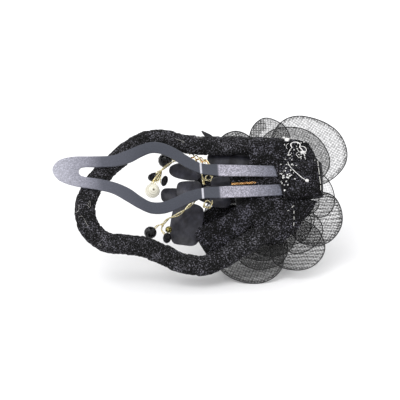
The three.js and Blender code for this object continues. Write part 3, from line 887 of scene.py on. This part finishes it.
def petal_point(ring, petal, rho, theta, phase):
    """A point of a petal: rho runs from its middle (0) to its hem (1), theta round it."""
    angle, reach, half, cup, _ = petal
    x, y = rho * cos(theta), rho * sin(theta)
    r = PETAL_ROOT + (reach - PETAL_ROOT) * (1 + x) / 2
    turn = radians(half) * y
    z = ring["z"] - cup * (r / 30) ** 2 + PINWHEEL * turn
    ruffle = ring["ruffle"] * rho**4 * sin(3 * theta + phase) * smooth((r - 8) / 8)
    ruffle += 0.35 * rho**2 * sin(7 * theta + 2 * phase)
    gather = 0.32 * math.exp(-(r - PETAL_ROOT) / 5) * cos(11 * turn / radians(half))
    bearing = radians(angle) + turn
    place = (FLOWER_X + r * cos(bearing), FLOWER_Y + r * sin(bearing))
    crumple = 0.22 * wobble((place[0], place[1], 10 * phase), 3.0)
    return (*place, z + float(ruffle) + gather + crumple), (r * cos(turn), r * sin(turn))


def build_petal(ring, petal, index):
    name = f"{ring['name']}_{index + 1}"
    phase = 1.7 * index + len(ring["name"])

    def field(rhos, thetas):
        found = [[petal_point(ring, petal, rho, theta, phase) for theta in thetas] for rho in rhos]
        return [np.array([[pair[kind] for pair in row] for row in found]) for kind in (0, 1)]

    rhos = np.linspace(0, 1, RINGS_IN_PETAL + 1).clip(1e-4)
    points, weave = field(rhos, np.linspace(0, tau, ROUND_PETAL + 1))
    rows = points[:, :-1]
    b = Builder("cloth_" + name).grid(rows, close_cols=True, weave=np.concatenate([weave, weave[-1:]]))
    b.tube(rows[-1], HEM_RADIUS, 6, material=1, closed=True)
    if name in FOLDS:
        first, last, inner = FOLDS[name]
        points, weave = field(np.linspace(inner, 0.985, 7), np.radians(np.linspace(first, last, 61)))
        b.grid(points + (0, 0, FOLD_LIFT), weave=weave)
    if name == "outer_petal_3":
        path = curve(RIBBON_END, 24)
        _, side, _ = frames(path)
        b.grid([[p + side[i] * w * (1.9 - 0.07 * i) for w in (-1, -0.5, 0, 0.5, 1)]
                for i, p in enumerate(path)], material=1)
    piece = b.made(petal[4], HEM)
    settle(piece, "black_organza", name)
    first, last, inner = FOLDS.get(name, (0, 0, 1))
    pattern = []
    for degrees in range(-180, 180, 3):
        rho = 2 - inner if first < degrees < last else 1
        pattern.append(petal_point(ring, petal, rho, radians(degrees), phase)[1])
    declare_cut(pattern, hem=tau * HEM_RADIUS)


def build_flower_base():
    """The felt disc, and the wound core that the petals are gathered on."""
    b = Builder("felt_disc")
    radius, top, bottom = 15.0, -7.2, -9.0
    profile = [(0.05, top), (9, top), (radius - 0.5, top), (radius - 0.15, top - 0.15), (radius, top - 0.6),
               (radius, bottom + 0.6), (radius - 0.15, bottom + 0.15), (radius - 0.5, bottom), (9, bottom),
               (0.05, bottom)]
    rows = []
    for r, z in profile:
        fray = 0.25 if r > 14 else 0
        rows.append([(FLOWER_X + (r + fray * wobble((c * 5, s * 5, 0), 1.5)) * c, FLOWER_Y + r * s, z)
                     for _, c, s in around(96)])
    b.solid(rows)
    settle(b.made(FELT), "black_felt", "felt_backing")
    b = Builder("wound_core")
    rows = []
    for z in np.linspace(-9.3, -23, 70):
        end = min(1.0, (z + 23.3) / 1.2) ** 0.5
        swell = 3.45 * end * (1 + 0.035 * sin(z * 7.5))
        rows.append(ring_at((FLOWER_X, FLOWER_Y), z, lambda a: swell + 0.12 * sin(5 * a + z), 40))
    b.solid(rows)
    settle(b.made(COTTON), "cotton_padding", "flower_core")


# ---- satin flower

SATIN_X, SATIN_Y, SATIN_Z = -32, 0, -9.3
SATIN_THICKNESS = 0.5
# Middle x and y, height, bearing, half length, half width, squareness of the outline (2 is an
# oval), depth of the fold along it.
SATIN_PETALS = [
    (-41, 8, -7.7, 170, 6.6, 3.8, 2.4, 0.3), (-39.4, -0.2, -8.4, 180, 5.1, 4.7, 2.9, 0.3),
    (-46.6, -1.5, -9.6, 185, 4.2, 3.1, 3.0, 0.45), (-40.3, -14.5, -9.2, 262, 9.2, 6.3, 3.6, 0.25),
    (-22.7, 13.8, -7.5, 0, 9.5, 3.4, 2.8, 0.3), (-27.2, -5.2, -7.8, 0, 4.3, 2.6, 2.4, 0.3),
    (-25.7, 3.1, -8, 5, 5.2, 3.3, 2.6, 0.3),
]


def build_satin_petal(index, petal):
    middle_x, middle_y, height, bearing, half_length, half_width, power, fold = petal
    angle = radians(bearing)
    phase = 2.3 * index
    rows, weave = [], []
    for fall in np.linspace(0, pi, 30):
        rho = max(0.004, sin(fall))
        row, lay = [], []
        for k in range(73):
            theta = tau * k / 72
            x = rho * squared(cos(theta), power)
            y = rho * squared(sin(theta), power)
            z = height + SATIN_THICKNESS * cos(fall) * (1 - 0.4 * rho**6)
            z += fold * (0.5 - abs(y)) + 0.3 * rho**2 * sin(2 * theta + phase)
            sway = 1 + 0.05 * sin(3 * theta + phase)
            place = (middle_x + half_length * x * cos(angle) - half_width * y * sway * sin(angle),
                     middle_y + half_length * x * sin(angle) + half_width * y * sway * cos(angle))
            z += 0.3 * wobble((place[0], place[1], phase * 4), 4.0)
            row.append((*place, float(z)))
            lay.append((half_length * x, half_width * y))
        rows.append(row[:-1])
        weave.append(lay)
    weave.append(weave[-1])
    b = Builder(f"satin_leaf_{index + 1}").solid(rows, weave=np.array(weave))
    piece = settle(b.made(SATIN), "navy_satin", f"satin_petal_{index + 1}")
    declare_cut(rounded_cut(half_length, half_width, power))


def build_satin_knot():
    b = Builder("satin_knot")
    rows = []
    for fall in np.linspace(0.03, pi - 0.03, 26):
        reach = 2.1 * sin(fall) ** 0.7
        rows.append(ring_at((SATIN_X, SATIN_Y), SATIN_Z + 1.7 * cos(fall),
                            lambda a: reach * (1 + 0.07 * sin(6 * a + 4 * fall)), 48))
    b.solid(rows)
    settle(b.made(SATIN), "navy_satin", "satin_core")


# ---- beads and wires

# The hole through a bead, as a share of its width.
DRILL_SHARE = 0.16


def bead(name, centre, radius, axis, slot, node, material, facets=None, stretch=1.0):
    """A drilled bead. With facets, it is (round, along) flat faces; without, it is a smooth ball."""
    b = Builder(name)
    axis = np.array(axis, float) / np.linalg.norm(axis)
    side = np.cross(axis, (0.3, 0.2, 1.0))
    side /= np.linalg.norm(side)
    up = np.cross(axis, side)
    faces, bands = facets or (56, 40)
    falls = np.linspace(math.asin(DRILL_SHARE), pi - math.asin(DRILL_SHARE), bands + 1)
    rows = []
    for i, fall in enumerate(falls):
        r, h = radius * sin(fall), radius * cos(fall) * stretch
        stagger = 0.5 * (i % 2) if facets else 0
        turns = [tau * (k + stagger) / faces for k in range(faces)]
        rows.append([np.array(centre) + axis * h + r * (side * cos(a) + up * sin(a)) for a in turns])
    u, v = np.append(np.arange(bands + 1) / bands, 0), np.arange(faces + 1) / faces
    weave = np.stack(np.meshgrid(u, v, indexing="ij"), -1)
    b.grid(rows, close_rows=True, close_cols=True, weave=weave)
    settle(b.made(material, flat_shaded=bool(facets)), slot, node)


# Name, middle, radius, axis, facets round and along, stretch along the axis.
JET_BEADS = [
    ("jet_oval_1", (-53.2, 4.3, -5.2), 1.9, (1, 0.1, 0.1), (12, 8), 1.45),
    ("jet_oval_5", (-49.2, 2.5, -5), 1.35, (0.3, 1, 0.1), (10, 8), 1.7),
    ("jet_ball_2", (-49.2, 13.2, -8), 2.9, (0.3, 1, 0.2), (12, 8), 1),
    ("jet_ball_3", (-54.3, -21, -2.4), 2.45, (1, -0.2, 0.3), (12, 8), 1),
    ("jet_ball_4", (-47.9, -22.6, -4), 1.65, (0.1, 1, 0.3), (10, 7), 1.25),
]


def build_beads():
    bead("pearl_ball", (-53.9, -2.5, -3.6), 2.95, (0.25, -0.25, 0.9), "pearl_bead", "pearl", PEARL)
    for name, middle, radius, axis, facets, stretch in JET_BEADS:
        bead(name, middle, radius, axis, "jet_bead", f"black_bead_{name[-1]}", JET, facets, stretch)
    bead("gold_green_ball", (-47.3, -19, -4), 1.35, (1, 0.4, 0), "gold_wire", "gold_bead", OLIVE, (10, 6))
    bead("clear_ball", (-48.6, -10.4, -4.4), 1.25, (0.4, 1, 0), "clear_bead", "clear_bead", CLEAR, (10, 6))


def strands(b, points, radius, turns, wire):
    """Two wires twisted round a path, turns times, each radius away from it."""
    path = curve(points, 60)
    _, side, up = frames(path)
    for start in (0, pi):
        a = np.linspace(0, tau * turns, len(path)) + start
        spread = radius * np.sin(np.linspace(0.15, pi - 0.15, len(path))) ** 0.3
        offset = (np.cos(a) * spread)[:, None] * side + (np.sin(a) * spread)[:, None] * up
        b.tube(path + offset, wire, 7)


WIRES = {
    "upper_stem": [(-33.5, 1.8, -6.6), (-35, 7.5, -6.2), (-38.5, 11.4, -5.4), (-43, 11.9, -4.4),
                   (-47, 9.4, -3.4), (-50, 6.6, -2.9)],
    "pearl_branch": [(-50.3, 6.2, -2.8), (-52.2, 3.2, -2.7), (-53.6, 0.3, -2.6)],
    "bead_1_branch": [(-50.2, 6.5, -2.9), (-51.3, 6.2, -3.6), (-52.6, 4.9, -3.6)],
    "side_stem": [(-35.4, 8.8, -7.2), (-39, 12.4, -7.2), (-42.5, 13.8, -7.4), (-46.3, 13.5, -7.9)],
    "lower_stem": [(-34.5, -2.4, -6.8), (-38.5, -7, -6.4), (-43.5, -11.5, -6.2), (-47.6, -14, -5.2),
                   (-49.4, -16.4, -4.4)],
    "bead_3_branch": [(-49.6, -16.5, -4.4), (-51.4, -17.4, -3.8), (-53.1, -19.4, -2.9)],
    "bead_4_branch": [(-49.5, -16.6, -4.4), (-50.0, -19.2, -4.1), (-48.6, -21.2, -4)],
}


def build_wires():
    for name, points in WIRES.items():
        b = Builder("gold_" + name)
        stem = name.endswith("stem")
        strands(b, points, *((0.42, 1.5, 0.26) if stem else (0.3, 0.6, 0.2)))
        if name == "pearl_branch":
            for lean in (-1.0, 0.8, 1.7):
                end = (-53.6 + lean, -0.2 + 0.4 * abs(lean), -2.9)
                b.tube(curve([(-50.2, 6.3, -2.8), (-51.8 + 0.7 * lean, 3.2, -2.3), end], 24), 0.17, 6)
        if name == "bead_1_branch":
            b.tube(curve([(-50.4, 6.2, -2.9), (-50.6, 3.6, -3.4), (-50.9, 1.2, -4.4)], 24), 0.17, 6)
        settle(b.made(GOLD), "gold_wire", name)


def build_trims():
    """Twisted wire knots by the strips, and the braid that shows between them."""
    b = Builder("gold_knots")
    for cx, cy, cz, size in ((-31.6, 3.4, -4.2, 1.5), (-32.0, -7.9, -4.8, 1.8)):
        for lap in range(2):
            knot = [(cx + size * cos(a) * (0.75 + 0.25 * lap), cy + size * sin(a + 0.5 * lap) * 0.9,
                     cz + 0.4 * cos(3 * a) + 0.4 * lap) for a in np.linspace(0.4 + lap, 5.6 + lap, 14)]
            b.tube(curve(knot, 60), 0.27, 7)
    for k in range(4):
        x = -39.4 + 1.9 * k
        bow = [(x, 14.9 - 0.9 * k, -6.0), (x + 1.0, 14.9 - 0.9 * k, -5.4), (x + 2.4, 12.6 - 0.8 * k, -5.4),
               (x + 3.0, 10.6 - 0.5 * k, -6.0)]
        b.tube(curve(bow, 20), 0.26, 6)
    settle(b.made(GOLD), "gold_wire")
    b = Builder("orange_braid")
    for n in range(3):
        path = []
        for x in np.linspace(-22.6, -12.8, 60):
            a = 2.1 * (x + 23) + tau * n / 3
            path.append((x, -0.75 + 0.07 * (x + 22) + 0.36 * sin(a), -1.1 + 0.28 * cos(a)))
        b.tube(path, 0.2, 6)
    for k in range(3):
        x = -38.6 + 2.4 * k
        bow = [(x, 13.6 - 0.8 * k, -6.4), (x + 1.3, 13.4 - 0.8 * k, -6.0), (x + 2.2, 11.8 - 0.6 * k, -6.3)]
        b.tube(curve(bow, 14), 0.34, 6)
    settle(b.made(BRAID), "gold_wire")


# ---- kept CAD pieces

KEPT = {"base_plate": STEEL, "hinge_pin": STEEL, "torsion_spring": STEEL, "frame_wire": STEEL,
        "frame_padding": COTTON, "glue_bed": GLUE}


def paint_cad():
    for name, material in KEPT.items():
        painted = frame["nodes"][name].data.materials
        painted.clear()
        painted.append(material)


# ---- stage

# In metres, watts and degrees. AIM is in the clip's frame, in mm.
FLOOR_REACH, FLOOR_DROP = 6.0, 0.00005
# Name, place, side of the square lamp, power.
LAMPS = [("key", (-0.45, -0.55, 0.95), 0.7, 5.0), ("rim", (0.35, 0.75, 0.8), 0.6, 3.0)]
AIM, CAMERA_REACH, CAMERA_RISE, VIEW_ANGLE, SENSOR_WIDTH = (-35.1, -8.2, 0), 0.45, 20, 19.66, 36


def build_stage():
    floor = bpy.data.meshes.new("floor")
    r = FLOOR_REACH
    floor.from_pydata([(-r, -r, 0), (r, -r, 0), (r, r, 0), (-r, r, 0)], [], [(0, 1, 2, 3)])
    ground = placed("floor", floor)
    ground.location.z = -FLOOR_DROP
    f = Finish("pale_floor", (0.93, 0.93, 0.94), 0.9, Specular_IOR_Level=0.0)
    floor.materials.append(f.material)

    world = bpy.data.worlds.new("studio")
    world.use_nodes = True
    background = world.node_tree.nodes["Background"].inputs
    background["Color"].default_value = (1.0, 1.0, 1.0, 1)
    background["Strength"].default_value = 0.95
    bpy.context.scene.world = world

    for name, place, size, power in LAMPS:
        light = bpy.data.lights.new(name, "AREA")
        light.size = size
        light.energy = power
        lamp = placed(name, light)
        lamp.location = place
        lamp.rotation_euler = (Vector((0, 0, 0.02)) - Vector(place)).to_track_quat("-Z", "Y").to_euler()


def build_camera():
    rise = radians(CAMERA_RISE)
    data = bpy.data.cameras.new("camera")
    data.sensor_width = SENSOR_WIDTH
    data.lens = SENSOR_WIDTH / 2 / math.tan(radians(VIEW_ANGLE / 2))
    data.clip_end = 20
    camera = placed("camera", data)
    camera.location = Vector(to_row(AIM)) + CAMERA_REACH * Vector((0, -cos(rise), sin(rise)))
    camera.rotation_euler = (pi / 2 - rise, 0, 0)
    bpy.context.scene.camera = camera
    bpy.context.scene.view_settings.view_transform = "Standard"


build_camera()
build_stage()
paint_cad()
build_jaw()
build_wrap()
build_lint()
build_patch()
build_gather()
build_lever_cover()
build_glue()
build_stitches()
for ring in RINGS:
    for number, petal in enumerate(ring["petals"]):
        build_petal(ring, petal, number)
build_flower_base()
for number, petal in enumerate(SATIN_PETALS):
    build_satin_petal(number, petal)
build_satin_knot()
build_beads()
build_wires()
build_trims()
